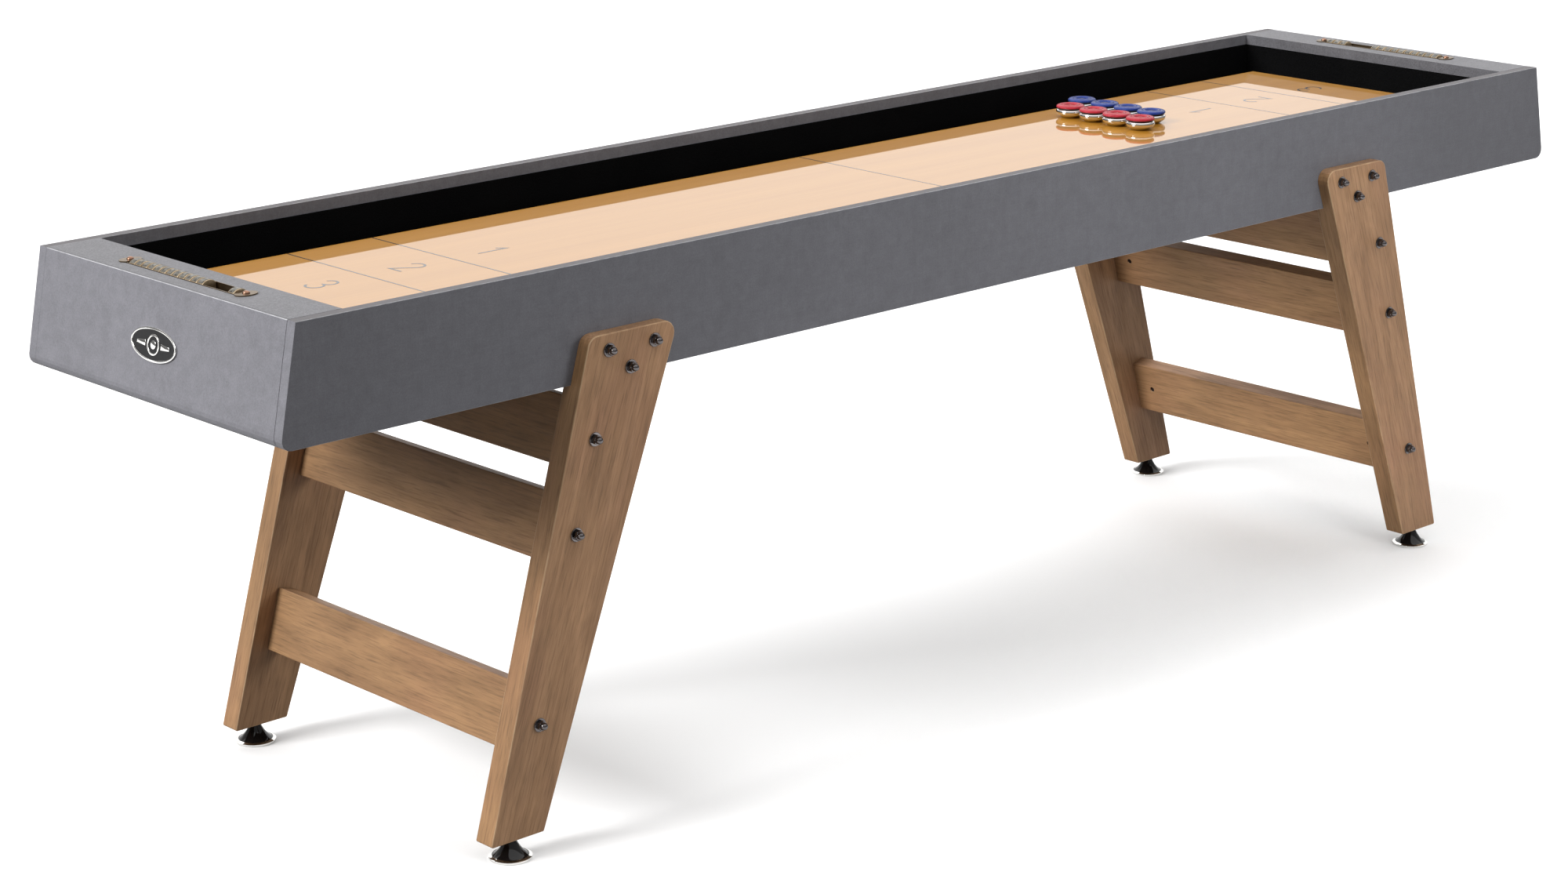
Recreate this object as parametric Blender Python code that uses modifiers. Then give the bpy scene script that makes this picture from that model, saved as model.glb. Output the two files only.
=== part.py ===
"""A nine-foot shuffleboard table with its eight pucks.

Metres, +Z up. The origin is on the floor under the middle of the table. +X runs along the
table, +Y across it. The left end is at -X and the front side is at -Y.
"""
import math

import bmesh
import bpy
from mathutils import Matrix, Vector

# Cabinet, outside
LENGTH = 2.7432          # along the bottom edges: nine feet
TOP_LENGTH = 2.678       # along the rails: both ends lean inwards
WIDTH = 0.614            # over the side panels
RAIL_TOP = 0.820         # height of the rails above the floor
SKIRT = 0.653            # height of the cabinet's bottom edge
BOARD = 0.018            # side panels, end panels and end decks
CORNER = 0.015           # radius of the cabinet's bottom corners
DECK_INNER = 1.254       # from the middle to an end deck's inner edge
# Cabinet, inside
BASE_BOTTOM = 0.668
BASE_THICK = 0.012
BASE_LENGTH = 2.694
WALL_THICK = 0.015       # upright board under each end deck's inner edge
WALL_SETBACK = 0.003     # leaves room for the carpet in front of that board
CARPET = 0.0025
# Playing field
FIELD_LENGTH = 2.316
FIELD_WIDTH = 0.384
FIELD_THICK = 0.032
FIELD_TOP = 0.774
BATTEN = (0.060, 0.300)  # along X, along Y
BATTEN_SPACING = 0.800
# Legs
LEG_THICK = 0.036
LEG_LAP = 0.021               # part of that laps over the cabinet's side, the rest is under it
LEG_TOP = 0.721
LEG_BOTTOM = 0.030
LEG_OUTER = (0.876, 1.072)    # x of the edge towards the end, at the top and at the bottom
LEG_INNER = (0.716, 0.979)    # x of the edge towards the middle
LEG_TOP_RADIUS = 0.018
LEG_FOOT_RADIUS = 0.003
LEVELER_BORE = 0.0053
LEVELER_BORE_DEPTH = 0.048
LEVELER_TRAVEL = 0.020        # how far a leveler screws out
# Stretchers: planks across each pair of legs, leaning as the legs' outer edges do
PLANK = 0.096
PLANK_THICK = 0.028
PLANK_INSET = 0.045           # from a leg's outer edge to a plank's middle plane
PLANK_HEIGHTS = {"top": 0.577, "middle": 0.448, "lower": 0.189}
BARREL_RADIUS = 0.005         # cross hole for a barrel nut
BARREL_DEPTH = 0.018
BARREL_INSET = 0.038          # from a plank's end to the hole
# Bolts through leg and side panel
BOLT_RADIUS = 0.004
BOLT_HOLE = 0.0043
BOLT_PLACES = {"outer": (0.843, 0.698), "inner": (0.761, 0.698), "low": (0.805, 0.668)}
WASHER = (0.010, 0.0016)      # radius, thickness
NUT = (0.0075, 0.0065)        # radius to the hexagon's corners, height
NUT_DOME = 0.0056
# Scorers: a row of tiles on a rod, let into each end deck
SCORER_X = 1.299
SLOT = (0.0260, 0.2640)       # along X, along Y
TROUGH_WALL = 0.0012
TROUGH_DEPTH = 0.0145
TROUGH_RIM = 0.0008           # above the deck
BRACKET = (0.034, 0.024, 0.0015)
BRACKET_Y = 0.1385
TILE_ZONE = 0.126             # half the length of the row
TILE_PITCH = 0.015
TILE_WIDTH = 0.022
TILE_BOTTOM = -0.0128         # below the deck's top face
TILE_SHOULDER = 0.0015
TILE_CROWN = 0.0055
ROD_RADIUS = 0.002
ROD_DROP = 0.0085
ROD_HOLE = 0.0023
TILE_ROWS = {"left": (11, 1), "right": (9, 3)}    # tiles behind and beyond the moving one
# Pucks
PUCK_RADIUS = 0.025
PUCK_HEIGHT = 0.022
PUCK_PITCH = 0.053            # between neighbours in a row
PUCK_ROWS = {"red": (0.578, 0.120), "blue": (0.637, 0.147)}    # x of the row, y of its first
# Badge on the left end
BADGE = (0.108, 0.046, 0.0025)
# Edges and clearances
EASE = 0.0015                 # radius of the legs', planks' and playing field's edges
PANEL_EASE = 0.0008           # radius of the side panels' edges
ARRIS = 0.003                 # how far an end panel's rounded top edge laps over the deck
GAP = 0.0003                  # between pieces that touch
ARC_STEPS = 5

# Finishes: colour, roughness, metallic
LAMINATE = ((0.16, 0.16, 0.18), 0.45, 0.0)
DECK_LAMINATE = ((0.40, 0.40, 0.39), 0.50, 0.0)
BOARD_CORE = ((0.45, 0.34, 0.22), 0.80, 0.0)
FELT = ((0.01, 0.01, 0.01), 0.95, 0.0)
MAPLE = ((0.62, 0.38, 0.16), 0.10, 0.0)
WOOD = ((0.27, 0.17, 0.10), 0.50, 0.0)
BLACK_NICKEL = ((0.10, 0.10, 0.11), 0.15, 1.0)
BRONZE = ((0.35, 0.20, 0.11), 0.30, 1.0)
TILE = ((0.50, 0.44, 0.33), 0.45, 0.0)
STEEL = ((0.60, 0.60, 0.62), 0.25, 1.0)
BADGE_METAL = ((0.55, 0.55, 0.57), 0.30, 1.0)
PUCK_FINISHES = {"red": ((0.60, 0.04, 0.05), 0.30, 0.0), "blue": ((0.05, 0.12, 0.50), 0.30, 0.0)}

HALF_WIDTH = WIDTH / 2
INNER_HALF_WIDTH = HALF_WIDTH - BOARD
BASE_TOP = BASE_BOTTOM + BASE_THICK
END_LEAN = (LENGTH - TOP_LENGTH) / 2 / (RAIL_TOP - SKIRT)
END_ANGLE = math.atan(END_LEAN)
LEG_LEAN = (LEG_OUTER[1] - LEG_OUTER[0]) / (LEG_TOP - LEG_BOTTOM)
LEG_ANGLE = math.atan(LEG_LEAN)
LEG_FACE = HALF_WIDTH + GAP + LEG_LAP    # a leg's outer face
LEG_INNER_FACE = LEG_FACE - LEG_THICK    # its inner face, under the cabinet
LEG_MIDDLE = LEG_FACE - LEG_THICK / 2
FOOT_X = (LEG_OUTER[1] + LEG_INNER[1]) / 2
ENDS = {"left": -1, "right": 1}
SIDES = {"front": -1, "back": 1}
UPRIGHT = Matrix.Rotation(math.radians(90), 4, "X")    # local (u, v) becomes world (x, z)


def new_collection(name):
    collection = bpy.data.collections.new(name)
    bpy.context.scene.collection.children.link(collection)
    return collection


for old in list(bpy.data.objects):
    bpy.data.objects.remove(old)
PARTS = new_collection("shuffleboard_table")
CUTTERS = new_collection("cutters")


def material(name, finish):
    colour, roughness, metallic = finish
    made = bpy.data.materials.new(name)
    made.use_nodes = True
    shader = made.node_tree.nodes["Principled BSDF"]
    shader.inputs["Base Color"].default_value = (*colour, 1.0)
    shader.inputs["Roughness"].default_value = roughness
    shader.inputs["Metallic"].default_value = metallic
    return made


def place(obj, finish, collection=PARTS):
    """Puts an object in its collection alone and gives it a material of its own."""
    for holder in list(obj.users_collection):
        holder.objects.unlink(obj)
    collection.objects.link(obj)
    obj.data.materials.clear()
    obj.data.materials.append(material(f"{obj.name}_finish", finish))
    return obj


def as_mesh(source):
    """Replaces an object by its evaluated mesh, with the caps of a curve welded on."""
    bpy.context.view_layer.update()
    evaluated = source.evaluated_get(bpy.context.evaluated_depsgraph_get())
    mesh = bpy.data.meshes.new_from_object(evaluated)
    shape = bmesh.new()
    shape.from_mesh(mesh)
    bmesh.ops.remove_doubles(shape, verts=shape.verts, dist=0.00001)
    bmesh.ops.recalc_face_normals(shape, faces=shape.faces)
    shape.to_mesh(mesh)
    shape.free()
    name = source.name
    made = bpy.data.objects.new(name, mesh)
    made.matrix_world = source.matrix_world
    PARTS.objects.link(made)
    bpy.data.objects.remove(source)
    made.name = name
    return made


def box(name, size, centre, finish):
    bpy.ops.mesh.primitive_cube_add(size=1, location=centre)
    obj = bpy.context.object
    obj.name = name
    obj.scale = size
    bpy.ops.object.transform_apply(location=False, rotation=False, scale=True)
    return place(obj, finish)


def rounded(corners):
    """Points round a polygon whose corners (u, v, radius) become arcs where radius is not 0."""
    points = []
    count = len(corners)
    for index, (u, v, radius) in enumerate(corners):
        corner = Vector((u, v))
        if not radius:
            points.append(corner)
            continue
        before = (Vector(corners[index - 1][:2]) - corner).normalized()
        after = (Vector(corners[(index + 1) % count][:2]) - corner).normalized()
        half = before.angle(after) / 2
        middle = corner + (before + after).normalized() * radius / math.sin(half)
        start = corner + before * radius / math.tan(half) - middle
        end = corner + after * radius / math.tan(half) - middle
        turn = start.angle_signed(end)
        for step in range(ARC_STEPS + 1):
            spin = Matrix.Rotation(-turn * step / ARC_STEPS, 2)
            points.append(middle + spin @ start)
    return points


def circle(u, v, radius, steps=12):
    turns = [2 * math.pi * step / steps for step in range(steps)]
    return [Vector((u + radius * math.cos(turn), v + radius * math.sin(turn))) for turn in turns]


def board(name, loops, thickness, matrix, finish, ease=0.0):
    """A flat board: loops inside its outline are holes, and `ease` rounds its edges."""
    curve = bpy.data.curves.new(name, "CURVE")
    curve.dimensions = "2D"
    curve.fill_mode = "BOTH"
    curve.extrude = thickness / 2 - ease
    curve.bevel_depth = ease
    curve.bevel_resolution = 1
    curve.offset = -ease
    for loop in loops:
        spline = curve.splines.new("POLY")
        spline.points.add(len(loop) - 1)
        for point, (u, v) in zip(spline.points, loop):
            point.co = (u, v, 0, 1)
        spline.use_cyclic_u = True
    obj = bpy.data.objects.new(name, curve)
    PARTS.objects.link(obj)
    obj.matrix_world = matrix
    return place(as_mesh(obj), finish)


def turned(name, profile, finish, steps=20):
    """A turned solid. The profile (radius, z) runs down the outer side from axis to axis."""
    mesh = bpy.data.meshes.new(name)
    points = [(radius, 0, z) for radius, z in profile]
    edges = [(index, index + 1) for index in range(len(points) - 1)]
    mesh.from_pydata(points, edges, [])
    obj = bpy.data.objects.new(name, mesh)
    PARTS.objects.link(obj)
    screw = obj.modifiers.new("Screw", "SCREW")
    screw.steps = steps
    screw.render_steps = steps
    screw.use_merge_vertices = True
    screw.merge_threshold = 0.00001
    obj = place(as_mesh(obj), finish)
    obj.data.shade_smooth()
    obj.data.set_sharp_from_angle(angle=math.radians(35))
    return obj


def peg(name, radius, length, centre, rotation=(0, 0, 0), steps=12):
    """A cylinder along its own Z axis."""
    bpy.ops.mesh.primitive_cylinder_add(
        vertices=steps, radius=radius, depth=length, location=centre, rotation=rotation)
    obj = bpy.context.object
    obj.name = name
    return obj


def ease_edges(obj):
    bevel = obj.modifiers.new("Bevel", "BEVEL")
    bevel.width = EASE
    bevel.segments = 2


def as_cutter(obj):
    place(obj, BOARD_CORE, CUTTERS)
    obj.hide_render = True
    obj.display_type = "WIRE"
    return obj


def combine(obj, other, operation):
    boolean = obj.modifiers.new(operation.title(), "BOOLEAN")
    boolean.operation = operation
    boolean.object = as_cutter(other)


def end_face_x(z, depth=0.0):
    """x of the right end's leaning face at height z, or of a plane that far behind it."""
    return TOP_LENGTH / 2 + (RAIL_TOP - z) * END_LEAN - depth / math.cos(END_ANGLE)


def leg_outer_x(z):
    """x of a right-hand leg's outer edge at height z."""
    return LEG_OUTER[0] + (LEG_TOP - z) * LEG_LEAN


def mirrored(points, sign):
    return [Vector((sign * u, v)) for u, v in points]


def across(y):
    """Where a board that stands in the XZ plane goes."""
    return Matrix.Translation((0, y, 0)) @ UPRIGHT


def bolt_holes(end):
    return [circle(end * x, z, BOLT_HOLE) for x, z in BOLT_PLACES.values()]


def side_panels():
    corners = [
        (TOP_LENGTH / 2, RAIL_TOP, 0), (-TOP_LENGTH / 2, RAIL_TOP, 0),
        (-LENGTH / 2, SKIRT, CORNER), (LENGTH / 2, SKIRT, CORNER)]
    holes = bolt_holes(-1) + bolt_holes(1)
    for side, sign in SIDES.items():
        y = sign * (HALF_WIDTH - BOARD / 2)
        board(f"side_panel_{side}", [rounded(corners)] + holes, BOARD, across(y), LAMINATE,
              PANEL_EASE)


def end_boards():
    """Each end: a leaning end panel mitred to a level deck, and the wall under the deck."""
    width = 2 * (INNER_HALF_WIDTH - GAP)
    under_deck = RAIL_TOP - BOARD
    top_corner = end_face_x(RAIL_TOP)
    inner_corner = end_face_x(under_deck, BOARD)
    panel = rounded([
        (top_corner, RAIL_TOP, EASE), (end_face_x(SKIRT), SKIRT, CORNER),
        (end_face_x(SKIRT, BOARD), SKIRT, 0), (inner_corner, under_deck, 0),
        (top_corner - ARRIS, RAIL_TOP, 0)])
    deck = rounded([
        (DECK_INNER, RAIL_TOP, 0), (top_corner - ARRIS - 2 * GAP, RAIL_TOP, 0),
        (inner_corner - 2 * GAP, under_deck, 0), (DECK_INNER, under_deck, 0)])
    wall_height = under_deck - BASE_TOP - 2 * GAP
    wall_x = DECK_INNER + WALL_SETBACK + WALL_THICK / 2
    for end, sign in ENDS.items():
        board(f"end_panel_{end}", [mirrored(panel, sign)], width, across(0), LAMINATE)
        top = board(f"end_deck_{end}", [mirrored(deck, sign)], width, across(0), DECK_LAMINATE)
        slot = box(f"slot_{end}", (*SLOT, 3 * BOARD), (sign * SCORER_X, 0, RAIL_TOP), BOARD_CORE)
        combine(top, slot, "DIFFERENCE")
        box(f"inner_wall_{end}", (WALL_THICK, width, wall_height),
            (sign * wall_x, 0, (under_deck + BASE_TOP) / 2), BOARD_CORE)


def base_and_carpet():
    width = 2 * (INNER_HALF_WIDTH - GAP)
    box("base_panel", (BASE_LENGTH, width, BASE_THICK), (0, 0, BASE_BOTTOM + BASE_THICK / 2),
        BOARD_CORE)
    low = BASE_TOP + GAP
    high = RAIL_TOP - BOARD - GAP
    length = 2 * (DECK_INNER + WALL_SETBACK - GAP)
    tub = box("carpet_liner", (length, width, high - low), (0, 0, (low + high) / 2), FELT)
    shape = bmesh.new()
    shape.from_mesh(tub.data)
    lid = [face for face in shape.faces if face.normal.z > 0.5]
    bmesh.ops.delete(shape, geom=lid, context="FACES_ONLY")
    shape.to_mesh(tub.data)
    shape.free()
    skin = tub.modifiers.new("Solidify", "SOLIDIFY")
    skin.thickness = CARPET
    skin.offset = -1
    skin.use_even_offset = True


def playing_field():
    underside = FIELD_TOP - FIELD_THICK
    field = box("playfield", (FIELD_LENGTH, FIELD_WIDTH, FIELD_THICK),
                (0, 0, FIELD_TOP - FIELD_THICK / 2), MAPLE)
    ease_edges(field)
    low = BASE_TOP + GAP + CARPET + GAP
    high = underside - GAP
    for name, place_x in (("left", -1), ("middle", 0), ("right", 1)):
        box(f"playfield_batten_{name}", (*BATTEN, high - low),
            (place_x * BATTEN_SPACING, 0, (low + high) / 2), BOARD_CORE)


def badge():
    """An oval plate flat on the left end panel."""
    length, height, thick = BADGE
    oval = [Vector((u * length / height, v)) for u, v in circle(0, 0, height / 2, 28)]
    z = (RAIL_TOP + SKIRT) / 2
    lean = Matrix.Rotation(END_ANGLE, 4, "Y")
    facing = Matrix(((0, 0, -1, 0), (-1, 0, 0, 0), (0, 1, 0, 0), (0, 0, 0, 1)))
    out = Matrix.Translation((0, 0, GAP + thick / 2))
    matrix = Matrix.Translation((-end_face_x(z), 0, z)) @ lean @ facing @ out
    board("badge_plate", [oval], thick, matrix, BADGE_METAL)


def tile_outline():
    """Section of a scoring tile across its rod, with a low crown."""
    half = TILE_WIDTH / 2
    rise = TILE_CROWN - TILE_SHOULDER
    radius = (half ** 2 + rise ** 2) / (2 * rise)
    reach = math.asin(half / radius)
    turns = [reach * (1 - 2 * step / ARC_STEPS) for step in range(ARC_STEPS + 1)]
    crown = [
        Vector((radius * math.sin(turn), TILE_CROWN - radius * (1 - math.cos(turn))))
        for turn in turns]
    return crown + [Vector((-half, TILE_BOTTOM)), Vector((half, TILE_BOTTOM))]


def tile_block(name, frame, first, count):
    """Tiles side by side along the rod, from `first` towards -y in the scorer's own frame."""
    length = count * TILE_PITCH - GAP
    middle = first - length / 2
    matrix = frame @ Matrix.Translation((0, middle, 0)) @ UPRIGHT
    return board(name, [tile_outline(), circle(0, -ROD_DROP, ROD_HOLE)], length, matrix, TILE)


def scorers():
    """Each scorer is drawn with its gap towards -y; the right-hand one is turned half round."""
    length = SLOT[1] - 2 * GAP
    width = SLOT[0] - 2 * GAP
    for end, sign in ENDS.items():
        spin = Matrix.Rotation(math.pi if sign > 0 else 0, 4, "Z")
        frame = Matrix.Translation((sign * SCORER_X, 0, RAIL_TOP)) @ spin
        tray = box(f"score_tray_{end}", (width, length, TROUGH_DEPTH + TROUGH_RIM),
                   (sign * SCORER_X, 0, RAIL_TOP + (TROUGH_RIM - TROUGH_DEPTH) / 2), BRONZE)
        for y in (-BRACKET_Y, BRACKET_Y):
            plate = peg(f"bracket_{end}", 0.5, 1, (sign * SCORER_X, y, 0), steps=20)
            plate.scale = BRACKET
            plate.location.z = RAIL_TOP + GAP + BRACKET[2] / 2
            combine(tray, plate, "UNION")
        hollow = box(f"trough_{end}",
                     (width - 2 * TROUGH_WALL, length - 2 * TROUGH_WALL, 2 * TROUGH_DEPTH),
                     (sign * SCORER_X, 0, RAIL_TOP + TROUGH_WALL), BRONZE)
        combine(tray, hollow, "DIFFERENCE")
        rod_length = length - 2 * TROUGH_WALL - 2 * GAP
        rod = peg(f"score_rod_{end}", ROD_RADIUS, rod_length,
                  (sign * SCORER_X, 0, RAIL_TOP - ROD_DROP), (math.radians(90), 0, 0))
        place(rod, STEEL)
        behind, beyond = TILE_ROWS[end]
        after_stack = TILE_ZONE - behind * TILE_PITCH
        last_stack = beyond * TILE_PITCH - TILE_ZONE
        tile_block(f"score_tiles_{end}_a", frame, TILE_ZONE, behind)
        tile_block(f"score_tile_{end}_moving", frame, after_stack, 1)
        tile_block(f"score_tiles_{end}_b", frame, last_stack - GAP, beyond)


def rebate(name, end_sign, side_sign):
    """Cutter for the upper part of a leg's inner side, where the cabinet's side stands."""
    x_size = 2 * (LEG_OUTER[1] - LEG_INNER[0])
    y_size = 2 * (LEG_THICK - LEG_LAP)
    bottom = SKIRT - GAP
    height = 2 * (LEG_TOP - bottom)
    centre = (end_sign * LEG_OUTER[0], side_sign * (HALF_WIDTH + GAP - y_size / 2),
              bottom + height / 2)
    return box(name, (x_size, y_size, height), centre, WOOD)


def legs():
    """A leg's foot is thicker than its top: a shoulder carries the cabinet's bottom edge."""
    corners = [
        (LEG_OUTER[0], LEG_TOP, LEG_TOP_RADIUS), (LEG_INNER[0], LEG_TOP, LEG_TOP_RADIUS),
        (LEG_INNER[1], LEG_BOTTOM, LEG_FOOT_RADIUS), (LEG_OUTER[1], LEG_BOTTOM, LEG_FOOT_RADIUS)]
    outline = rounded(corners)
    stretcher_holes = [
        circle(leg_outer_x(z) - PLANK_INSET, z, BOLT_HOLE) for z in PLANK_HEIGHTS.values()]
    holes = bolt_holes(1) + stretcher_holes
    for end, end_sign in ENDS.items():
        for side, side_sign in SIDES.items():
            y = side_sign * LEG_MIDDLE
            leg = board(f"leg_{end}_{side}", [mirrored(outline, end_sign)], LEG_THICK, across(y),
                        WOOD, EASE)
            drills = board(f"drills_{end}_{side}", [mirrored(hole, end_sign) for hole in holes],
                           2 * LEG_THICK, across(y), WOOD)
            bore = peg(f"bore_{end}_{side}", LEVELER_BORE, 2 * LEVELER_BORE_DEPTH,
                       (end_sign * FOOT_X, y, LEG_BOTTOM))
            combine(leg, rebate(f"rebate_{end}_{side}", end_sign, side_sign), "DIFFERENCE")
            combine(leg, drills, "DIFFERENCE")
            combine(leg, bore, "DIFFERENCE")


def levelers():
    """A flared foot and its stem. A leveler's origin is on its axis, at the floor."""
    profile = [
        (0, 0.065), (0.005, 0.065), (0.005, 0.0295), (0.010, 0.0295), (0.010, 0.026),
        (0.015, 0.017), (0.024, 0.008), (0.031, 0.003), (0.031, 0), (0, 0)]
    master = turned("leveler", profile, BLACK_NICKEL, 24)
    for end, end_sign in ENDS.items():
        for side, side_sign in SIDES.items():
            foot = bpy.data.objects.new(f"leveler_{end}_{side}", master.data)
            foot.location = (end_sign * FOOT_X, side_sign * LEG_MIDDLE, 0)
            PARTS.objects.link(foot)
    bpy.data.objects.remove(master)


def stretchers():
    """Planks between the legs, bored at both ends for a bolt that meets a barrel nut."""
    length = 2 * (LEG_INNER_FACE - GAP)
    for end, sign in ENDS.items():
        for level, z in PLANK_HEIGHTS.items():
            x = sign * (leg_outer_x(z) - PLANK_INSET)
            plank = box(f"stretcher_{end}_{level}", (PLANK_THICK, length, PLANK), (0, 0, 0), WOOD)
            ease_edges(plank)
            lean = Matrix.Rotation(-sign * LEG_ANGLE, 4, "Y")
            matrix = Matrix.Translation((x, 0, z)) @ lean
            plank.matrix_world = matrix
            for side_sign in SIDES.values():
                y = side_sign * (length / 2 - BARREL_INSET)
                hole = peg(f"barrel_hole_{end}_{level}", BARREL_RADIUS, 2 * BARREL_DEPTH, (0, 0, 0))
                inwards = Matrix.Translation((-sign * PLANK_THICK / 2, y, 0))
                hole.matrix_world = matrix @ inwards @ Matrix.Rotation(math.radians(90), 4, "Y")
                combine(plank, hole, "DIFFERENCE")
                bore = peg(f"end_bore_{end}_{level}", BOLT_HOLE, 2 * BARREL_INSET, (0, 0, 0))
                at_end = Matrix.Translation((0, side_sign * length / 2, 0))
                bore.matrix_world = matrix @ at_end @ UPRIGHT
                combine(plank, bore, "DIFFERENCE")


def bolt_mesh():
    """A bolt along Z: shank below z = 0, washer, hexagon and dome above it."""
    shank = LEG_LAP + BOARD - 2 * GAP
    washer_radius, washer_thick = WASHER
    nut_radius, nut_height = NUT
    nut_top = washer_thick + nut_height
    dome = [
        (NUT_DOME * math.sin(turn), nut_top + NUT_DOME * math.cos(turn))
        for turn in (0, math.radians(35), math.radians(65), math.radians(90))]
    profile = dome + [
        (NUT_DOME, washer_thick / 2), (washer_radius, washer_thick / 2), (washer_radius, 0),
        (BOLT_RADIUS, 0), (BOLT_RADIUS, -shank), (0, -shank)]
    bolt = turned("bolt", profile, BLACK_NICKEL, 12)
    nut = peg("hexagon", nut_radius, nut_height, (0, 0, washer_thick / 4 + nut_height / 2), steps=6)
    combine(bolt, nut, "UNION")
    bolt = as_mesh(bolt)
    mesh = bolt.data
    bpy.data.objects.remove(bolt)
    bpy.data.objects.remove(nut)
    return mesh


def cabinet_bolts():
    mesh = bolt_mesh()
    for end, end_sign in ENDS.items():
        for side, side_sign in SIDES.items():
            for spot, (x, z) in BOLT_PLACES.items():
                bolt = bpy.data.objects.new(f"bolt_{end}_{side}_{spot}", mesh)
                bolt.location = (end_sign * x, side_sign * (LEG_FACE + GAP), z)
                bolt.rotation_euler.x = -side_sign * math.radians(90)
                PARTS.objects.link(bolt)


def pucks():
    """A puck's origin is on its axis, at its underside."""
    rim = PUCK_RADIUS
    profile = [
        (0, PUCK_HEIGHT), (rim - 0.004, PUCK_HEIGHT), (rim - 0.001, PUCK_HEIGHT - 0.003),
        (rim, PUCK_HEIGHT - 0.006), (rim, PUCK_HEIGHT - 0.010), (rim - 0.003, 0.003),
        (rim - 0.006, 0), (0, 0)]
    for colour, (x, first) in PUCK_ROWS.items():
        master = turned(f"{colour}_puck", profile, PUCK_FINISHES[colour])
        for index in range(4):
            puck = bpy.data.objects.new(f"puck_{colour}_{index + 1}", master.data)
            puck.location = (x, first - index * PUCK_PITCH, FIELD_TOP + GAP)
            PARTS.objects.link(puck)
        bpy.data.objects.remove(master)


side_panels()
end_boards()
base_and_carpet()
playing_field()
badge()
scorers()
legs()
levelers()
stretchers()
cabinet_bolts()
pucks()
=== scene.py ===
"""The looks of the shuffleboard table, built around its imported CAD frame.

Metres, +Z up. +X runs along the table, +Y across it, and the floor is at z = 0.
"""
import math

import bmesh
import bpy
from mathutils import Matrix, Vector


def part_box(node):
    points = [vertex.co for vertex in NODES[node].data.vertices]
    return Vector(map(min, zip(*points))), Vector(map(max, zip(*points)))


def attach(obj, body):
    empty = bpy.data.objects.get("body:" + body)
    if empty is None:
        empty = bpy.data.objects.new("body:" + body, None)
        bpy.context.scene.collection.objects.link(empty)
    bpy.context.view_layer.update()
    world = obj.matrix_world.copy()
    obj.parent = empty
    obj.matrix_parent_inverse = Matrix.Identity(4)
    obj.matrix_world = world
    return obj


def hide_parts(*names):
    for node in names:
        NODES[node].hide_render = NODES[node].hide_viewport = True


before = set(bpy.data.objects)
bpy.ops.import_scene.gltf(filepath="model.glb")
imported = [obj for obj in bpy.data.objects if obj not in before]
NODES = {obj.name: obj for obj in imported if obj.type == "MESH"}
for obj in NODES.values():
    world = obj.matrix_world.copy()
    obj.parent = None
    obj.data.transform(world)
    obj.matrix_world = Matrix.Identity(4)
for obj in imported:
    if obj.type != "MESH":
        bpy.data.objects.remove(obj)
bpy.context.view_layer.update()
ENDS = {"left": -1, "right": 1}
SIDES = {"front": -1, "back": 1}


def middle(node):
    low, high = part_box(node)
    return (low + high) / 2


FIELD_LOW, FIELD_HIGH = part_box("playfield")
LEG_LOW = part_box("leg_right_front")[0]


# Colour and camera --------------------------------------------------------------------------

def make_scene_setup():
    scene = bpy.context.scene
    scene.view_settings.view_transform = "Standard"
    scene.view_settings.look = "None"


CAMERA_PLACE = (-3.6851, -3.7389, 1.8457)
CAMERA_TURN = -42.8741        # degrees about Z from looking along +Y
CAMERA_DOWN = 16.1560
CAMERA_ROLL = -0.3422
CAMERA_LENS = 77.0137
SENSOR = 36.0


def make_camera():
    data = bpy.data.cameras.new("camera")
    data.sensor_width = SENSOR
    data.lens = CAMERA_LENS
    data.clip_end = 200
    camera = bpy.data.objects.new("camera", data)
    bpy.context.scene.collection.objects.link(camera)
    turn = Matrix.Rotation(math.radians(CAMERA_TURN), 4, "Z")
    tilt = Matrix.Rotation(math.radians(90 - CAMERA_DOWN), 4, "X")
    roll = Matrix.Rotation(math.radians(CAMERA_ROLL), 4, "Z")
    camera.matrix_world = Matrix.Translation(CAMERA_PLACE) @ turn @ tilt @ roll
    bpy.context.scene.camera = camera


# Materials ----------------------------------------------------------------------------------

PIECE_SHIFT = (7.0, 5.0, 3.0)   # most that a piece's pattern is shifted, in metres


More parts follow.
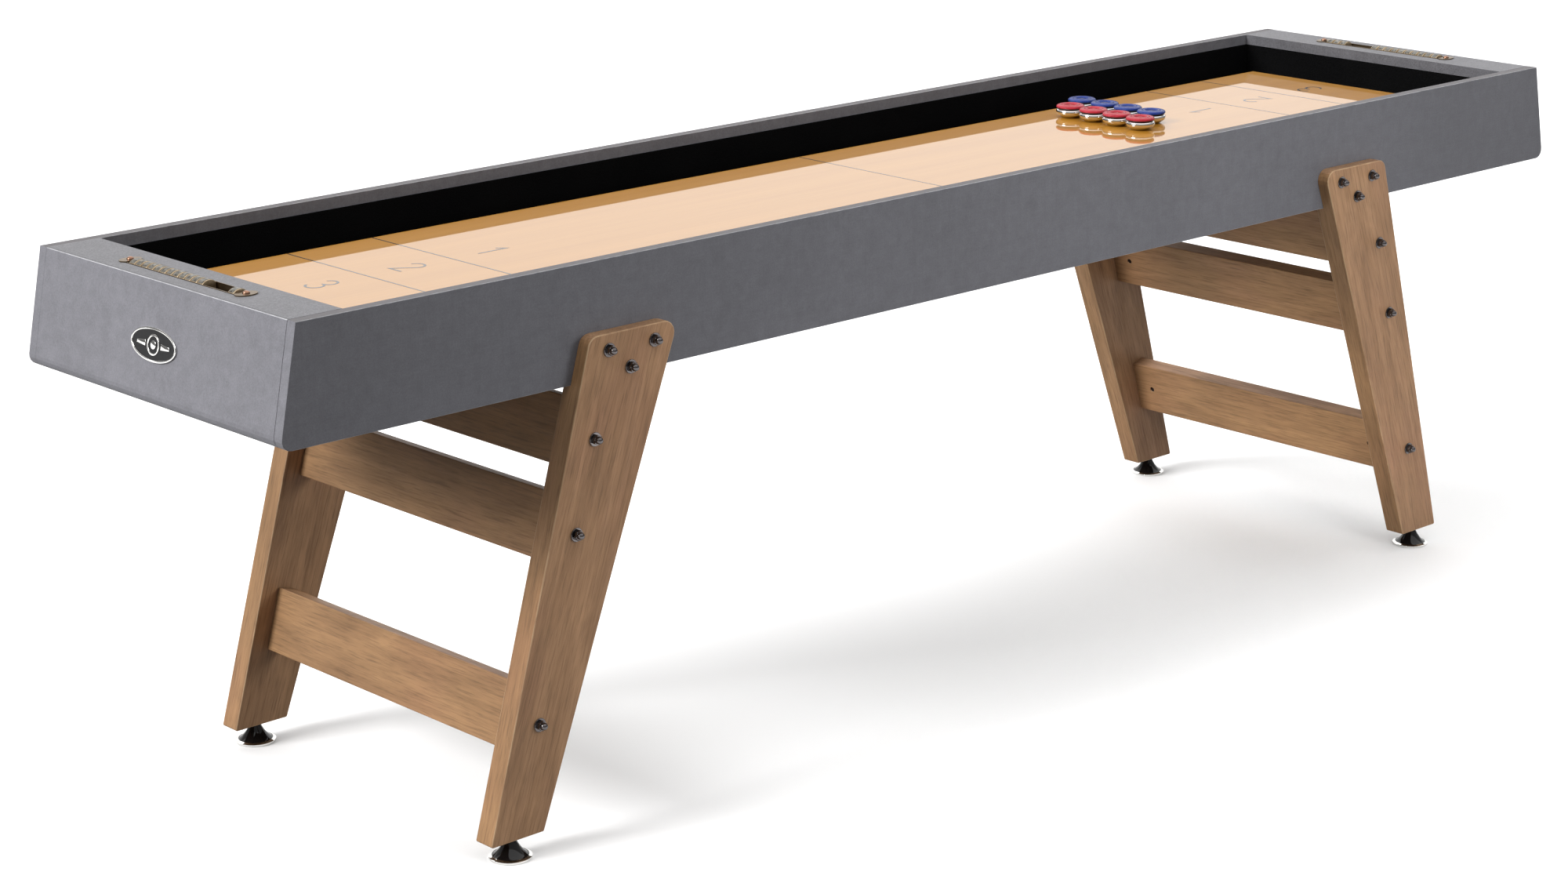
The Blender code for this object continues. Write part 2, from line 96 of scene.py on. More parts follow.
class Surface:
    """A material whose node tree is built by calls that return output sockets."""

    def __init__(self, name, roughness=0.5, metallic=0.0, specular=0.5):
        self.material = bpy.data.materials.new(name)
        self.material.use_nodes = True
        self.tree = self.material.node_tree
        self.shader = self.tree.nodes["Principled BSDF"]
        self.set("Roughness", roughness)
        self.set("Metallic", metallic)
        self.set("Specular IOR Level", specular)

    def wire(self, socket, value):
        if isinstance(value, bpy.types.NodeSocket):
            self.tree.links.new(value, socket)
        elif isinstance(value, tuple) and len(value) == 3 and len(socket.default_value) == 4:
            socket.default_value = (*value, 1.0)
        else:
            socket.default_value = value

    def set(self, name, value):
        self.wire(self.shader.inputs[name], value)
        return self

    def node(self, kind, output, settings=None, **inputs):
        made = self.tree.nodes.new(kind)
        for key, value in (settings or {}).items():
            setattr(made, key, value)
        for key, value in inputs.items():
            self.wire(made.inputs[key.replace("_", " ")], value)
        return made.outputs[output]

    def coordinates(self, stretch=(1, 1, 1), turn=0.0, offset=True):
        """The piece's own coordinates, turned about Y, stretched, and shifted piece by piece."""
        place = self.node("ShaderNodeTexCoord", "Object")
        if turn:
            place = self.node("ShaderNodeVectorRotate", "Vector", {"rotation_type": "Y_AXIS"},
                              Vector=place, Angle=turn)
        if offset:
            chance = self.node("ShaderNodeObjectInfo", "Random")
            shift = self.tree.nodes.new("ShaderNodeVectorMath")
            shift.operation = "MULTIPLY_ADD"
            self.wire(shift.inputs[0], chance)
            self.wire(shift.inputs[1], PIECE_SHIFT)
            self.wire(shift.inputs[2], place)
            place = shift.outputs[0]
        return self.node("ShaderNodeMapping", "Vector", {"vector_type": "POINT"},
                         Vector=place, Scale=stretch)

    def noise(self, place, scale, detail=2.0, roughness=0.5, distortion=0.0):
        return self.node("ShaderNodeTexNoise", "Fac", Vector=place, Scale=scale, Detail=detail,
                         Roughness=roughness, Distortion=distortion)

    def spread(self, value, low, high, to_low=0.0, to_high=1.0):
        """Maps low..high to to_low..to_high, clamped."""
        made = self.tree.nodes.new("ShaderNodeMapRange")
        self.wire(made.inputs["Value"], value)
        for key, number in (("From Min", low), ("From Max", high),
                            ("To Min", to_low), ("To Max", to_high)):
            self.wire(made.inputs[key], number)
        return made.outputs["Result"]

    def mix(self, factor, first, second, blend="MIX"):
        made = self.tree.nodes.new("ShaderNodeMix")
        made.data_type = "RGBA"
        made.blend_type = blend
        self.wire(made.inputs["Factor"], factor)
        self.wire(made.inputs[6], first)
        self.wire(made.inputs[7], second)
        return made.outputs[2]

    def math(self, operation, first, second):
        made = self.tree.nodes.new("ShaderNodeMath")
        made.operation = operation
        self.wire(made.inputs[0], first)
        self.wire(made.inputs[1], second)
        return made.outputs[0]

    def size_of(self, value):
        """A number without its sign."""
        return self.math("ABSOLUTE", value, 0.0)

    def normal_part(self, axis):
        split = self.tree.nodes.new("ShaderNodeSeparateXYZ")
        self.wire(split.inputs[0], self.node("ShaderNodeNewGeometry", "True Normal"))
        return split.outputs[axis]

    def facing_up(self):
        """1 on level faces that look up, 0 on upright ones."""
        return self.spread(self.normal_part("Z"), 0.6, 0.9)

    def facing_end(self):
        """1 on faces that look along the table, 0 on its sides and level faces."""
        return self.spread(self.size_of(self.normal_part("X")), 0.5, 0.8)

    def between(self, value, low, high, soft=0.03):
        """1 where value is from low to high, 0 elsewhere."""
        return self.math("MULTIPLY", self.spread(value, low - soft, low),
                         self.spread(value, high, high + soft, 1.0, 0.0))

    def bump(self, height, strength, distance):
        self.set("Normal", self.node("ShaderNodeBump", "Normal", Height=height, Strength=strength,
                                     Distance=distance))
        return self


# Painted highlight: the pale grey laid along the laminate's eased edges.
EDGE_HIGHLIGHT_GREY = (0.52, 0.52, 0.54)
LONG_EDGE_HIGHLIGHT = 0.55         # how strong the painted highlight on the long edges is, where an end's edge is 1


def laminate(name, colour, painted_top_colour, painted_end_colour, highlit_edges=None, speckle_depth=0.16, gloss=0.2):
    """Grey linen-look laminate: broad clouds, crossed threads and a fine speckle.

    Faces that look up have the top colour, and those that look along the table the end colour:
    painted light and shade, as the lamps fall on each facing of one laminate.
    A painted highlight, a pale band broken up by noise, runs along the eased edges: the long ones
    for "long", the ends' for "end".
    """
    made = Surface(name, specular=gloss)
    place = made.coordinates(offset=False)
    clouds = made.noise(place, 4.0, 3.0, 0.6)
    patches = made.noise(place, 45.0, 6.0, 0.7, 0.4)
    speckle = made.noise(place, 420.0, 3.0, 0.8)
    warp = made.noise(made.coordinates((14.0, 330.0, 330.0), offset=False), 1.0, 2.0, 0.6)
    weft = made.noise(made.coordinates((330.0, 14.0, 14.0), offset=False), 1.0, 2.0, 0.6)
    # Painted light and shade: the sides' colour, the top colour and the end colour are lit and
    # shaded greys of one laminate.
    base = made.mix(made.facing_up(), colour, painted_top_colour)
    base = made.mix(made.facing_end(), base, painted_end_colour)
    tone = made.math("MULTIPLY", made.spread(clouds, 0.3, 0.7, 0.96, 1.05),
                     made.spread(patches, 0.3, 0.7, 0.88, 1.12))
    grain = made.spread(speckle, 0.25, 0.75, 1 - speckle_depth, 1 + speckle_depth)
    threads = made.math("MULTIPLY", made.spread(warp, 0.3, 0.7, 0.975, 1.025),
                        made.spread(weft, 0.3, 0.7, 0.975, 1.025))
    tone = made.math("MULTIPLY", made.math("MULTIPLY", tone, grain), threads)
    base = made.mix(1.0, base, tone, "MULTIPLY")
    # Painted highlight on the eased edges, broken up by noise.
    if highlit_edges:
        steep = made.normal_part("Z")
        if highlit_edges == "long":
            most = LONG_EDGE_HIGHLIGHT
            sideways = made.spread(made.size_of(made.normal_part("X")), 0.02, 0.10, 1.0, 0.0)
            edge = made.math("MULTIPLY", made.between(made.size_of(steep), 0.25, 0.95), sideways)
        else:
            most = 1.0
            edge = made.between(steep, 0.45, 0.80)
        broken = made.math("MULTIPLY", edge, made.spread(patches, 0.35, 0.55, 0.35 * most, most))
        base = made.mix(broken, base, EDGE_HIGHLIGHT_GREY)
    made.set("Base Color", base)
    made.set("Roughness", made.spread(patches, 0.3, 0.7, 0.50, 0.66))
    return made.bump(made.math("ADD", speckle, made.math("MULTIPLY", warp, weft)), 0.2,
                     0.0004).material


def raw_board(name):
    """Particle board: pale chips pressed together."""
    made = Surface(name, roughness=0.85, specular=0.2)
    place = made.coordinates()
    chips = made.tree.nodes.new("ShaderNodeTexVoronoi")
    made.wire(chips.inputs["Vector"], place)
    made.wire(chips.inputs["Scale"], 260.0)
    tint = made.mix(chips.outputs["Color"], (0.34, 0.24, 0.14), (0.56, 0.43, 0.28))
    made.set("Base Color", tint)
    return made.bump(chips.outputs["Distance"], 0.4, 0.0006).material


def carpet(name):
    """Short black looped carpet."""
    made = Surface(name, roughness=1.0, specular=0.04)
    place = made.coordinates(offset=False)
    pile = made.noise(place, 650.0, 2.0, 0.7)
    wear = made.noise(place, 12.0, 3.0)
    tint = made.mix(made.spread(pile, 0.35, 0.7), (0.0012, 0.0012, 0.0013), (0.006, 0.006, 0.0065))
    tint = made.mix(made.spread(wear, 0.4, 0.8, 0.0, 0.3), tint, (0.007, 0.007, 0.007))
    made.set("Base Color", tint)
    return made.bump(pile, 0.8, 0.0015).material


# Painted highlight: the pale brown laid along the wood's eased edges.
EDGE_HIGHLIGHT_WOOD = (0.50, 0.34, 0.20)


def wood(name, along, turn=0.0):
    """Brown-stained wood with its grain along an axis, Y or Z, of the turned coordinates.

    Faces that look along the table get a painted shade, darker and more golden, and the eased
    edges a painted highlight, pale and broken up by noise.
    """
    def stretch(length_scale, width_scale):
        scales = {axis: width_scale for axis in "XYZ"}
        scales[along] = length_scale
        return tuple(scales[axis] for axis in "XYZ")

    made = Surface(name, specular=0.35)
    figure = made.noise(made.coordinates(stretch(3.5, 16.0), turn), 1.0, 4.0, 0.6, 0.8)
    streaks = made.noise(made.coordinates(stretch(5.0, 110.0), turn), 1.0, 4.0, 0.65, 0.5)
    pores = made.noise(made.coordinates(stretch(18.0, 360.0), turn), 1.0, 2.0, 0.7)
    blush = made.noise(made.coordinates(stretch(5.0, 12.0), turn), 1.0, 3.0)
    smudge = made.noise(made.coordinates(stretch(14.0, 34.0), turn), 1.0, 3.0, 0.6, 0.5)
    tint = made.mix(made.spread(figure, 0.3, 0.72), (0.264, 0.147, 0.077), (0.426, 0.248, 0.134))
    tint = made.mix(made.spread(blush, 0.48, 0.72, 0.0, 0.5), tint, (0.372, 0.198, 0.115))
    tone = made.math("MULTIPLY", made.spread(streaks, 0.28, 0.72, 0.82, 1.12),
                     made.spread(pores, 0.28, 0.52, 0.68, 1.04))
    tone = made.math("MULTIPLY", tone, made.spread(smudge, 0.3, 0.62, 0.92, 1.05))
    # Painted shade: faces that look along the table are darker and more golden.
    end_face_shade = made.mix(1.0, tint, (0.91, 0.88, 0.76), "MULTIPLY")
    base = made.mix(1.0, made.mix(made.facing_end(), tint, end_face_shade), tone, "MULTIPLY")
    # Painted highlight on the eased edges, broken up by noise.
    eased = made.between(made.size_of(made.normal_part("Y")), 0.2, 0.93)
    edge_highlight = made.math("MULTIPLY", eased, made.spread(smudge, 0.35, 0.6, 0.2, 0.8))
    made.set("Base Color", made.mix(edge_highlight, base, EDGE_HIGHLIGHT_WOOD))
    made.set("Roughness", made.spread(streaks, 0.3, 0.7, 0.62, 0.46))
    return made.bump(pores, 0.3, 0.0003).material


def lacquered(name):
    """A matt surface under a thick clear gloss coat."""
    surface = Surface(name, roughness=0.5, specular=0.1)
    surface.set("Coat Weight", 1.0)
    surface.set("Coat Roughness", 0.015)
    surface.set("Coat IOR", 1.5)
    return surface


def field_wood(name):
    """Amber maple boards, edge to edge along the table, under a poured gloss finish."""
    made = lacquered(name)
    strips = made.coordinates((0.9, 22.0, 22.0), offset=False)
    figure = made.noise(strips, 1.0, 3.0, 0.55, 0.3)
    streaks = made.noise(made.coordinates((5.0, 260.0, 260.0), offset=False), 1.0, 3.0, 0.6)
    tint = made.mix(made.spread(figure, 0.3, 0.7), (0.400, 0.180, 0.018), (0.436, 0.202, 0.023))
    tone = made.spread(streaks, 0.3, 0.7, 0.97, 1.03)
    made.set("Base Color", made.mix(1.0, tint, tone, "MULTIPLY"))
    return made.material


def ink(name):
    """The black of the lines and numbers, under the same finish as the field."""
    made = lacquered(name)
    fade = made.noise(made.coordinates(offset=False), 300.0, 2.0)
    made.set("Base Color", made.mix(made.spread(fade, 0.3, 0.8), (0.012, 0.010, 0.010),
                                    (0.035, 0.028, 0.024)))
    return made.material


def metal(name, colour, roughness, scratch=0.06):
    """Plated metal with faint handling marks in its gloss."""
    made = Surface(name, metallic=1.0)
    marks = made.noise(made.coordinates(), 500.0, 3.0, 0.7)
    smudge = made.noise(made.coordinates(), 60.0, 2.0)
    made.set("Base Color", made.mix(made.spread(smudge, 0.3, 0.8, 0.0, 0.3), colour,
                                    tuple(0.8 * channel for channel in colour)))
    made.set("Roughness", made.spread(marks, 0.3, 0.8, roughness, roughness + scratch))
    return made.material


def stained_brass(name, clean, stained, scale):
    """Aged brass with darker stains."""
    made = Surface(name, metallic=0.75)
    place = made.coordinates()
    stain = made.noise(place, scale, 3.0, 0.6)
    tint = made.mix(made.spread(stain, 0.35, 0.7), clean, stained)
    made.set("Base Color", tint)
    made.set("Roughness", made.spread(stain, 0.3, 0.7, 0.28, 0.45))
    return made.bump(made.noise(place, 900.0), 0.1, 0.0002).material


def gloss_plastic(name, colour, roughness, specular=0.5, ripple=0.0):
    """Moulded plastic or paint, with a faint cloud in its colour, and ripples that sparkle."""
    made = Surface(name, roughness=roughness, specular=specular)
    place = made.coordinates()
    cloud = made.noise(place, 90.0, 2.0)
    deep = tuple(0.78 * channel for channel in colour)
    made.set("Base Color", made.mix(made.spread(cloud, 0.3, 0.7), deep, colour))
    marks = made.noise(place, 700.0)
    made.set("Roughness", made.spread(marks, 0.3, 0.8, roughness, roughness + 0.1))
    if ripple:
        made.bump(made.noise(place, 520.0, 2.0), ripple, 0.0012)
    return made.material


LEG_TURN = math.radians(18.4)     # lean of a leg's middle line
# Painted light and shade: lit and shaded greys of one laminate, lighter on the ends and deck tops,
# darker on the sides, the rail tops and the decks' inner faces.
SHADED_SIDE_GREY = (0.140, 0.140, 0.154)
LIT_END_GREY = (0.210, 0.208, 0.229)
LIT_TOP_GREY = (0.180, 0.178, 0.187)
SHADED_RAIL_GREY = (0.116, 0.109, 0.114)
SHADED_INNER_GREY = (0.115, 0.114, 0.124)
LAMINATE = laminate("laminate_sides", SHADED_SIDE_GREY, SHADED_RAIL_GREY, LIT_END_GREY, "long")
END_LAMINATE = laminate("laminate_ends", SHADED_SIDE_GREY, LIT_TOP_GREY, LIT_END_GREY, "end")
DECK_LAMINATE = laminate("laminate_decks", SHADED_SIDE_GREY, LIT_TOP_GREY, SHADED_INNER_GREY, speckle_depth=0.34,
                         gloss=0.08)
BOARD_CORE = raw_board("particle_board")
CARPET = carpet("black_carpet")
FIELD = field_wood("field_maple")
INK = ink("field_ink")
LEG_WOOD = {
    "left": wood("leg_wood_left", "Z", -LEG_TURN),
    "right": wood("leg_wood_right", "Z", LEG_TURN),
}
PLANK_WOOD = wood("plank_wood", "Y")
BLACK_NICKEL = metal("black_nickel", (0.115, 0.105, 0.105), 0.08)
BLACK_GLOSS = gloss_plastic("black_gloss", (0.006, 0.005, 0.005), 0.03, 0.35)
CHROME = metal("chrome", (0.78, 0.77, 0.75), 0.05, 0.05)
STEEL = metal("drawn_steel", (0.50, 0.50, 0.50), 0.25)
BRONZE = metal("bronze", (0.19, 0.135, 0.080), 0.30, 0.12)
COPPER = metal("copper_screw", (0.30, 0.165, 0.110), 0.22)
BRASS = stained_brass("aged_brass", (0.47, 0.37, 0.25), (0.24, 0.175, 0.10), 130.0)
TILE_FIELD = stained_brass("tile_field", (0.22, 0.21, 0.185), (0.022, 0.018, 0.012), 230.0)
CAPS = {
    "red": (gloss_plastic("red_rim", (0.42, 0.022, 0.040), 0.10, 0.22, 1.0),
            gloss_plastic("red_centre", (0.32, 0.008, 0.015), 0.10, 0.22, 1.0)),
    "blue": (gloss_plastic("blue_rim", (0.012, 0.034, 0.205), 0.10, 0.22, 1.0),
             gloss_plastic("blue_centre", (0.004, 0.013, 0.110), 0.10, 0.22, 1.0)),
}
GROOVE = gloss_plastic("black_groove", (0.01, 0.01, 0.012), 0.4)
ENAMEL = gloss_plastic("black_enamel", (0.008, 0.008, 0.009), 0.35, 0.25)


def dress_nodes():
    """Gives each CAD node that stays in view its material."""
    def finish(name):
        if name.startswith("side_panel"):
            return LAMINATE
        if name.startswith("end_panel"):
            return END_LAMINATE
        if name.startswith("end_deck"):
            return DECK_LAMINATE
        if name.startswith("leg_"):
            return LEG_WOOD[name.split("_")[1]]
        if name.startswith("stretcher"):
            return PLANK_WOOD
        if name.startswith("score_tray"):
            return BRONZE
        if name.startswith("score_rod"):
            return STEEL
        if name == "carpet_liner":
            return CARPET
        if name == "playfield":
            return FIELD
        return BOARD_CORE

    for name, node in NODES.items():
        node.data.materials.clear()
        node.data.materials.append(finish(name))


# Mesh tools ---------------------------------------------------------------------------------

def add(name, mesh, material, body, matrix):
    """Links a piece, puts it in place, and has it ride on a body."""
    piece = bpy.data.objects.new(name, mesh)
    bpy.context.scene.collection.objects.link(piece)
    if not mesh.materials:
        mesh.materials.append(material)
    piece.matrix_world = matrix
    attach(piece, body)
    return piece


SHARP_ANGLE = math.radians(35)
MERGE_DISTANCE = 0.000005


def closed(shape, mesh):
    """Writes a closed shape to a mesh, with its faces outward, smooth apart from sharp edges."""
    bmesh.ops.recalc_face_normals(shape, faces=shape.faces)
    shape.to_mesh(mesh)
    shape.free()
    mesh.shade_smooth()
    mesh.set_sharp_from_angle(angle=SHARP_ANGLE)
    return mesh


def turned(name, profile, steps, flats=None):
    """A closed turned mesh about Z. The profile runs down the outer side from axis to axis.

    A point is (radius, z), or (radius, z, True) where the hexagon of half-width `flats` cuts it.
    """
    shape = bmesh.new()
    rings = []
    for radius, z, *cut in profile:
        if radius == 0:
            rings.append([shape.verts.new((0, 0, z))])
            continue
        ring = []
        for step in range(steps):
            turn = 2 * math.pi * step / steps
            reach = radius
            if cut:
                away = (turn + math.pi / 6) % (math.pi / 3) - math.pi / 6
                reach = min(radius, flats / math.cos(away))
            ring.append(shape.verts.new((reach * math.cos(turn), reach * math.sin(turn), z)))
        rings.append(ring)
    for above, below in zip(rings, rings[1:]):
        for step in range(steps):
            after = (step + 1) % steps
            if len(above) == 1:
                shape.faces.new((above[0], below[step], below[after]))
            elif len(below) == 1:
                shape.faces.new((above[step], below[0], above[after]))
            else:
                shape.faces.new((above[step], below[step], below[after], above[after]))
    return closed(shape, bpy.data.meshes.new(name))


def turned_ring(name, profile, steps):
    """A closed turned mesh with a hole down its middle: the profile is a closed loop."""
    shape = bmesh.new()
    rings = []
    turns = [2 * math.pi * step / steps for step in range(steps)]
    for radius, z in profile:
        rings.append([shape.verts.new((radius * math.cos(turn), radius * math.sin(turn), z))
                      for turn in turns])
    for index, ring in enumerate(rings):
        below = rings[(index + 1) % len(rings)]
        for step in range(steps):
            after = (step + 1) % steps
            shape.faces.new((ring[step], below[step], below[after], ring[after]))
    return closed(shape, bpy.data.meshes.new(name))


def arc(centre, radius, start, end, steps):
    """Points on an arc, with angles in degrees from the first axis."""
    points = []
    for step in range(steps + 1):
        turn = math.radians(start + (end - start) * step / steps)
        points.append((centre[0] + radius * math.cos(turn), centre[1] + radius * math.sin(turn)))
    return points


def flat_shape(name, loops, thickness, ease=0.0):
    """A plate in the XY plane, centred on it, with eased edges. Inner loops are holes."""
    curve = bpy.data.curves.new(name, "CURVE")
    curve.dimensions = "2D"
    curve.fill_mode = "BOTH"
    curve.extrude = thickness / 2 - ease
    curve.bevel_depth = ease
    curve.bevel_resolution = 2
    curve.offset = -ease
    for loop in loops:
        spline = curve.splines.new("POLY")
        spline.points.add(len(loop) - 1)
        for point, (u, v) in zip(spline.points, loop):
            point.co = (u, v, 0, 1)
        spline.use_cyclic_u = True
    holder = bpy.data.objects.new(name, curve)
    bpy.context.scene.collection.objects.link(holder)
    bpy.context.view_layer.update()
    graph = bpy.context.evaluated_depsgraph_get()
    mesh = bpy.data.meshes.new_from_object(holder.evaluated_get(graph))
    bpy.data.objects.remove(holder)
    shape = bmesh.new()
    shape.from_mesh(mesh)
    bmesh.ops.remove_doubles(shape, verts=shape.verts, dist=MERGE_DISTANCE)
    mesh.materials.clear()
    return closed(shape, mesh)


def round_end(centre, out, width):
    """Points round the end of a stroke that runs out that way, from its left side to its right."""
    heading = math.degrees(math.atan2(out.y, out.x))
    return [Vector(point) for point in arc(centre, width / 2, heading + 60, heading - 60, 4)]


def ribbon(points, width):
    """Outline of a stroke of even width along a path, with mitred corners and round ends."""
    path = [Vector(point) for point in points]
    headings = [(after - before).normalized() for before, after in zip(path, path[1:])]
    left, right = [], []
    for index, point in enumerate(path):
        arriving = headings[max(index - 1, 0)]
        leaving = headings[min(index, len(headings) - 1)]
        along = (arriving + leaving).normalized()
        side = Vector((-along.y, along.x)) * width / 2 / along.dot(leaving)
        left.append(point + side)
        right.append(point - side)
    return (left + round_end(path[-1], headings[-1], width)
            + right[::-1] + round_end(path[0], -headings[0], width))


# Playing field marks ------------------------------------------------------------------------

LINE_WIDTH = 0.0028
LINE_STEP = 0.150             # from the field's end to the first line, and on to the second
LINE_MARGIN = 0.006           # how much shorter a line is than the field is wide
STROKE = 0.0038
DIGIT_HEIGHT = 0.050
INLAY = 0.0006                # thickness of a mark
PROUD = 0.00012               # how far a mark stands above the wood


def three_outline(height, width):
    """Outline of a 3: two round bowls that meet in a point."""
    upper, lower = 0.235 * height, 0.265 * height      # radii of the bowls' middle lines
    centre_up, centre_low = Vector((0.0, upper)), Vector((0.0, -lower))
    half = width / 2
    notch_y = half * (lower - upper) / (lower + upper)
    notch_x = math.sqrt((upper + half) ** 2 - (notch_y - upper) ** 2)
    notch_up = math.degrees(math.atan2(notch_y - upper, notch_x))
    notch_low = math.degrees(math.atan2(notch_y + lower, notch_x))
    start, end = 155.0, -155.0

    def tip(centre, radius, angle, spin):
        turn = math.radians(angle)
        place = centre + radius * Vector((math.cos(turn), math.sin(turn)))
        return round_end(place, spin * Vector((-math.sin(turn), math.cos(turn))), width)

    outline = tip(centre_up, upper, start, 1)
    outline += arc(centre_up, upper - half, start, -90, 14)
    outline += arc((0.0, 0.0), half, 90, 270, 6)[1:-1]
    outline += arc(centre_low, lower - half, 90, end, 14)
    outline += tip(centre_low, lower, end, -1)[::-1]
    outline += arc(centre_low, lower + half, end, notch_low, 14)
    outline += arc(centre_up, upper + half, notch_up, start, 14)[1:]
    shift = Vector((0.0, (lower - upper)))
    return [Vector(point) + shift for point in outline]


def digit_outlines():
    """Outlines of 1, 2 and 3, upright about the middle of each."""
    def scaled(path):
        return [(u * DIGIT_HEIGHT, v * DIGIT_HEIGHT) for u, v in path]

    two = arc((0.0, 0.24), 0.26, 165, -38, 14) + [(-0.25, -0.5), (0.27, -0.5)]
    one = [(-0.17, 0.30), (0.03, 0.5), (0.03, -0.5)]
    return {1: ribbon(scaled(one), STROKE), 2: ribbon(scaled(two), STROKE),
            3: three_outline(DIGIT_HEIGHT, STROKE)}


def make_marks():
    """The middle line, and two lines and three numbers at each end that read from that end."""
    top = FIELD_HIGH.z + PROUD - INLAY / 2
    reach = FIELD_HIGH.x
    width = FIELD_HIGH.y - FIELD_LOW.y - LINE_MARGIN
    places = {"middle": 0.0}
    for end, sign in ENDS.items():
        places[f"{end}_outer"] = sign * (reach - LINE_STEP)
        places[f"{end}_inner"] = sign * (reach - 2 * LINE_STEP)
    for name, x in places.items():
        half = LINE_WIDTH / 2
        outline = [(-half, -width / 2), (half, -width / 2), (half, width / 2), (-half, width / 2)]
        mesh = flat_shape(f"field_line_{name}", [outline], INLAY)
        add(f"field_line_{name}", mesh, INK, "table", Matrix.Translation((x, 0, top)))
    steps_in = {3: 0.5, 2: 1.5, 1: 2.49}       # from the field's end to a number's middle
    for number, outline in digit_outlines().items():
        for end, sign in ENDS.items():
            mesh = flat_shape(f"field_number_{number}_{end}", [outline], INLAY)
            facing = Matrix.Rotation(math.radians(90 * sign), 4, "Z")
            x = sign * (reach - steps_in[number] * LINE_STEP)
            matrix = Matrix.Translation((x, 0, top)) @ facing
            add(f"field_number_{number}_{end}", mesh, INK, "table", matrix)


# Bolts and barrel nuts ----------------------------------------------------------------------

PLANK_THICK = 0.028
PLANK_LEAN = math.radians(15.837)
BARREL_INSET = 0.038          # from a plank's end to the nut's axis
BARREL_RADIUS = 0.0047
BARREL_DEPTH = 0.0150
BARREL_SINK = 0.0012          # from the plank's face down to the nut's top
SLOT_DEPTH = 0.0012
BOLT_STEPS = 36
HEXAGON = 0.0065              # half-width of a bolt head across its flats
WASHER_CLEARANCE = 0.0003


def bolt_profile(shank):
    """A domed hexagon head on a washer, with its shank below z = 0."""
    washer_r, washer_h = 0.0100, 0.0016
    flats_r, nut_h = 0.0075, 0.0066
    dome_r = 0.0056
    top = washer_h + nut_h
    dome = [(dome_r * math.sin(math.radians(a)), top + 1.25 * dome_r * math.cos(math.radians(a)))
            for a in range(0, 91, 15)]
    return dome + [
        (dome_r + 0.0004, top), (flats_r - 0.0010, top, True), (flats_r, top - 0.0007, True),
        (flats_r, washer_h + 0.0004, True), (flats_r - 0.0006, washer_h, True),
        (washer_r - 0.0004, washer_h), (washer_r, washer_h - 0.0004), (washer_r, 0.0002),
        (washer_r - 0.0002, 0.0), (0.004, 0.0), (0.004, -shank), (0.0, -shank)]


def make_bolts():
    """Each bolt's axis is along Y, with its head outside the leg."""
    leg_face = -LEG_LOW.y
    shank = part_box("bolt_right_front_outer")[1].y + leg_face
    cabinet = turned("cabinet_bolt", bolt_profile(shank), BOLT_STEPS, HEXAGON)
    plank_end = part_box("stretcher_left_top")[1].y
    reach = leg_face - plank_end + BARREL_INSET - BARREL_RADIUS
    stretcher = turned("stretcher_bolt", bolt_profile(reach), BOLT_STEPS, HEXAGON)
    face = leg_face + WASHER_CLEARANCE
    for end in ENDS:
        for side, side_sign in SIDES.items():
            lay = Matrix.Rotation(-side_sign * math.radians(90), 4, "X")
            for spot in ("outer", "inner", "low"):
                node = f"bolt_{end}_{side}_{spot}"
                centre = middle(node)
                twist = Matrix.Rotation(centre.x * 40 + side_sign, 4, "Z")
                place = Matrix.Translation((centre.x, side_sign * face, centre.z))
                piece = add(f"{node}_nut", cabinet, BLACK_NICKEL, "table", place @ lay @ twist)
                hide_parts(node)
            for level in ("top", "middle", "lower"):
                centre = middle(f"stretcher_{end}_{level}")
                twist = Matrix.Rotation(centre.z * 60 + side_sign, 4, "Z")
                place = Matrix.Translation((centre.x, side_sign * face, centre.z))
                add(f"stretcher_bolt_{end}_{side}_{level}", stretcher, BLACK_NICKEL, "table",
                    place @ lay @ twist)


def barrel_nut_mesh():
    """A short cylinder about Z with its top at z = 0, and a slot across the top along X."""
    radius, depth, ease = BARREL_RADIUS, BARREL_DEPTH, 0.0005
    profile = [(radius - ease, 0.0), (radius, -ease), (radius, ease - depth),
               (radius - ease, -depth)]
    shape = bmesh.new()
    steps = 28
    rings = []
    for r, z in profile:
        rings.append([shape.verts.new((r * math.cos(2 * math.pi * k / steps),
                                       r * math.sin(2 * math.pi * k / steps), z))
                      for k in range(steps)])
    for above, below in zip(rings, rings[1:]):
        for k in range(steps):
            after = (k + 1) % steps
            shape.faces.new((above[k], below[k], below[after], above[after]))
    shape.faces.new(rings[-1][::-1])
    half = steps // 2
    top = rings[0]
    low = []                      # the slot's floor, below the rim's corners on either side
    for k in (0, half):
        for corner in (top[k - 1], top[k + 1]):
            low.append(shape.verts.new(corner.co - Vector((0, 0, SLOT_DEPTH))))
    a0, a1 = top[steps - 1], top[1]
    b0, b1 = top[half - 1], top[half + 1]
    shape.faces.new([top[k] for k in range(1, half)])
    shape.faces.new([top[k] for k in range(half + 1, steps)])
    shape.faces.new((low[0], low[1], low[2], low[3]))
    shape.faces.new((a1, b0, low[2], low[1]))
    shape.faces.new((b1, a0, low[0], low[3]))
    shape.faces.new((a0, top[0], a1, low[1], low[0]))
    shape.faces.new((b0, top[half], b1, low[3], low[2]))
    return closed(shape, bpy.data.meshes.new("barrel_nut"))


